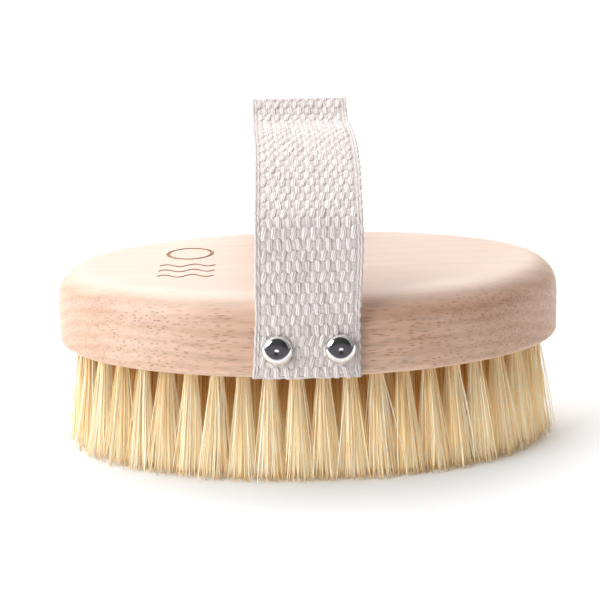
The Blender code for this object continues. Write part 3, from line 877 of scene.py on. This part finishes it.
def make_nails(surface):
    """Polished dome heads with a turned edge; the shanks are hidden in the wood."""
    for name in sorted(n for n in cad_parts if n.startswith("nail_")):
        low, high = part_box(name)
        middle = (low + high) / 2
        facing = -1 if middle.y < 0 else 1
        head_vertices = [v.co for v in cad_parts[name].data.vertices
                         if facing * v.co.y > side_y(0) + 0.5 * MM]
        x = sum(v.x for v in head_vertices) / len(head_vertices)
        z = sum(v.z for v in head_vertices) / len(head_vertices)
        slope = math.atan(HALF_WIDTH / HALF_LENGTH * x / math.sqrt(HALF_LENGTH ** 2 - x ** 2))
        outward = Vector((math.sin(slope), facing * math.cos(slope), 0)).normalized()
        across = Vector((0, 0, 1)).cross(outward).normalized()
        seat = side_y(x, STRAP_GAP + STRAP_THICKNESS + 0.3 * MM)
        origin = Vector((x, facing * seat, z))
        outline = nail_outline()
        count = NAIL_SEGMENTS
        points, faces = [], []
        rings = outline[1:] + NAIL_SHANK
        points.append(tuple(origin + outward * outline[0][1]))
        for radius, rise in rings:
            for i in range(count):
                t = 2 * math.pi * i / count
                spoke = across * math.cos(t) + Vector((0, 0, 1)) * math.sin(t)
                points.append(tuple(origin + outward * rise + spoke * radius))
        for i in range(count):
            faces.append((0, 1 + i, 1 + (i + 1) % count))
        for ring in range(len(rings) - 1):
            base = 1 + ring * count
            for i in range(count):
                j = (i + 1) % count
                faces.append((base + i, base + count + i, base + count + j, base + j))
        faces.append(tuple(1 + (len(rings) - 1) * count + i for i in range(count)))
        head = mesh_object(name + "_polished", points, faces, [surface])
        work = bmesh.new()
        work.from_mesh(head.data)
        bmesh.ops.recalc_face_normals(work, faces=work.faces[:])
        work.to_mesh(head.data)
        work.free()
        head.data.set_sharp_from_angle(angle=math.radians(40))
        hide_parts(name)
        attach(head, BODY)


# ---------------------------------------------------------------- floor, light and camera

def make_floor():
    work = bmesh.new()
    bmesh.ops.create_grid(work, x_segments=2, y_segments=2, size=6.0)
    floor = object_from(work, "floor")
    surface, tree, shader = new_material("floor_with_painted_reflection")
    faint = noise(tree, mapped(tree, (3.0, 3.0, 3.0)), 1.0)
    plain = ramp(tree, faint, [(0.3, 0.92), (0.7, 0.93)])
    path = node(tree, "ShaderNodeLightPath")
    place = node(tree, "ShaderNodeTexCoord")
    split = node(tree, "ShaderNodeSeparateXYZ")
    link(tree, place.outputs["Object"], split.inputs["Vector"])
    # Painted reflection: ahead of the brush the floor is near black to glossy rays only, which paints a
    # dark reflection into the chrome nails; other rays see the pale floor.
    ahead = ramp(tree, maths(tree, "MULTIPLY", split.outputs["Y"], -5.0), [(0.40, 0.0), (0.52, 1.0)])
    painted_reflection_patch = maths(tree, "MULTIPLY", path.outputs["Is Glossy Ray"], ahead)
    link(tree, mix(tree, "MIX", painted_reflection_patch, plain, (0.085, 0.08, 0.09)), shader.inputs["Base Color"])
    shader.inputs["Roughness"].default_value = 0.9
    shader.inputs["Specular IOR Level"].default_value = 0.0
    away = node(tree, "ShaderNodeVectorMath", operation="LENGTH")
    link(tree, place.outputs["Object"], away.inputs[0])
    shader.inputs["Emission Color"].default_value = (1.0, 1.0, 1.0, 1.0)
    glow = ramp(tree, away.outputs["Value"], [(0.16, 0.0), (0.75, 0.5)])
    outside_painted_reflection = maths(tree, "SUBTRACT", 1.0, painted_reflection_patch)
    link(tree, maths(tree, "MULTIPLY", glow, outside_painted_reflection), shader.inputs["Emission Strength"])
    floor.data.materials.append(surface)


def area_light(name, place, aim, size, power, colour=(1, 1, 1)):
    light = bpy.data.lights.new(name, "AREA")
    light.shape = "RECTANGLE"
    light.size, light.size_y = size
    light.energy = power
    light.color = colour
    made = bpy.data.objects.new(name, light)
    made.location = place
    made.rotation_euler = (Vector(aim) - Vector(place)).to_track_quat("-Z", "Y").to_euler()
    bpy.context.scene.collection.objects.link(made)


def make_world():
    """White studio surroundings, with the dim side of the room behind the photographer."""
    world = bpy.data.worlds.new("studio")
    world.use_nodes = True
    tree = world.node_tree
    background = tree.nodes["Background"]
    direction = node(tree, "ShaderNodeTexCoord")
    front = node(tree, "ShaderNodeVectorMath", operation="DOT_PRODUCT")
    link(tree, direction.outputs["Generated"], front.inputs[0])
    front.inputs[1].default_value = Vector((-0.05, -0.95, 0.30)).normalized()
    side = node(tree, "ShaderNodeVectorMath", operation="DOT_PRODUCT")
    link(tree, direction.outputs["Generated"], side.inputs[0])
    side.inputs[1].default_value = (1.0, 0.0, 0.0)
    room = ramp(tree, maths(tree, "ADD", maths(tree, "MULTIPLY", side.outputs["Value"], 0.5), 0.5),
                [(0.0, 1.0), (0.45, 0.80), (1.0, 0.27)])
    dim = ramp(tree, front.outputs["Value"], [(0.50, 1.0), (0.60, 0.075)])
    shade = mix(tree, "MULTIPLY", 1.0, room, dim)
    path = node(tree, "ShaderNodeLightPath")
    seen = mix(tree, "MIX", path.outputs["Is Camera Ray"], shade, (1.0, 1.0, 1.0))
    link(tree, seen, background.inputs["Color"])
    background.inputs["Strength"].default_value = 1.0
    bpy.context.scene.world = world


def make_lights():
    make_world()
    area_light("key", (-0.84, -0.52, 0.52), (0, 0, 0.03), (0.6, 0.6), 9.0, (0.96, 1.03, 1.09))
    area_light("top", (-0.05, 0.40, 0.85), (0, 0, 0.03), (1.2, 0.9), 8.6)


def make_camera():
    """The photograph's view: a long lens, a little above the block and rolled slightly."""
    distance = 0.463
    height = 0.1653
    pitch = 0.2701
    turn = -0.0045
    roll = -0.0260
    focal_px = 1765.3
    camera = bpy.data.cameras.new("camera")
    camera.sensor_width = 36.0
    camera.lens = camera.sensor_width * focal_px / 600
    camera.clip_start = 0.01
    camera.clip_end = 50
    made = bpy.data.objects.new("camera", camera)
    forward = Vector((math.sin(turn) * math.cos(pitch), math.cos(turn) * math.cos(pitch),
                      -math.sin(pitch)))
    right = Vector((math.cos(turn), -math.sin(turn), 0))
    up = right.cross(forward)
    rolled_right = right * math.cos(roll) + up * math.sin(roll)
    rolled_up = up * math.cos(roll) - right * math.sin(roll)
    turned = Matrix((rolled_right, rolled_up, -forward)).transposed()
    made.matrix_world = Matrix.Translation((0.0, -distance, height)) @ turned.to_4x4()
    bpy.context.scene.collection.objects.link(made)
    bpy.context.scene.camera = made


def main():
    bpy.context.scene.view_settings.view_transform = "Standard"
    make_floor()
    make_lights()
    make_camera()
    chrome = chrome_material()
    centres = make_tufts(fibre_material("plant_fibre_pale", PALE_FIBRE),
                         fibre_material("plant_fibre_painted_shade", INNER_FIBRE_PAINTED_SHADE))
    make_block(beech_material(), burnt_material(), hole_material(), centres)
    make_anchors(chrome, centres)
    cotton = cotton_material("cotton_yarn", YARN_DARK, YARN_LIGHT)
    ground = cotton_material("cotton_weft", WEFT_DARK, WEFT_LIGHT)
    make_strap(cotton, ground)
    make_nails(chrome)


main()
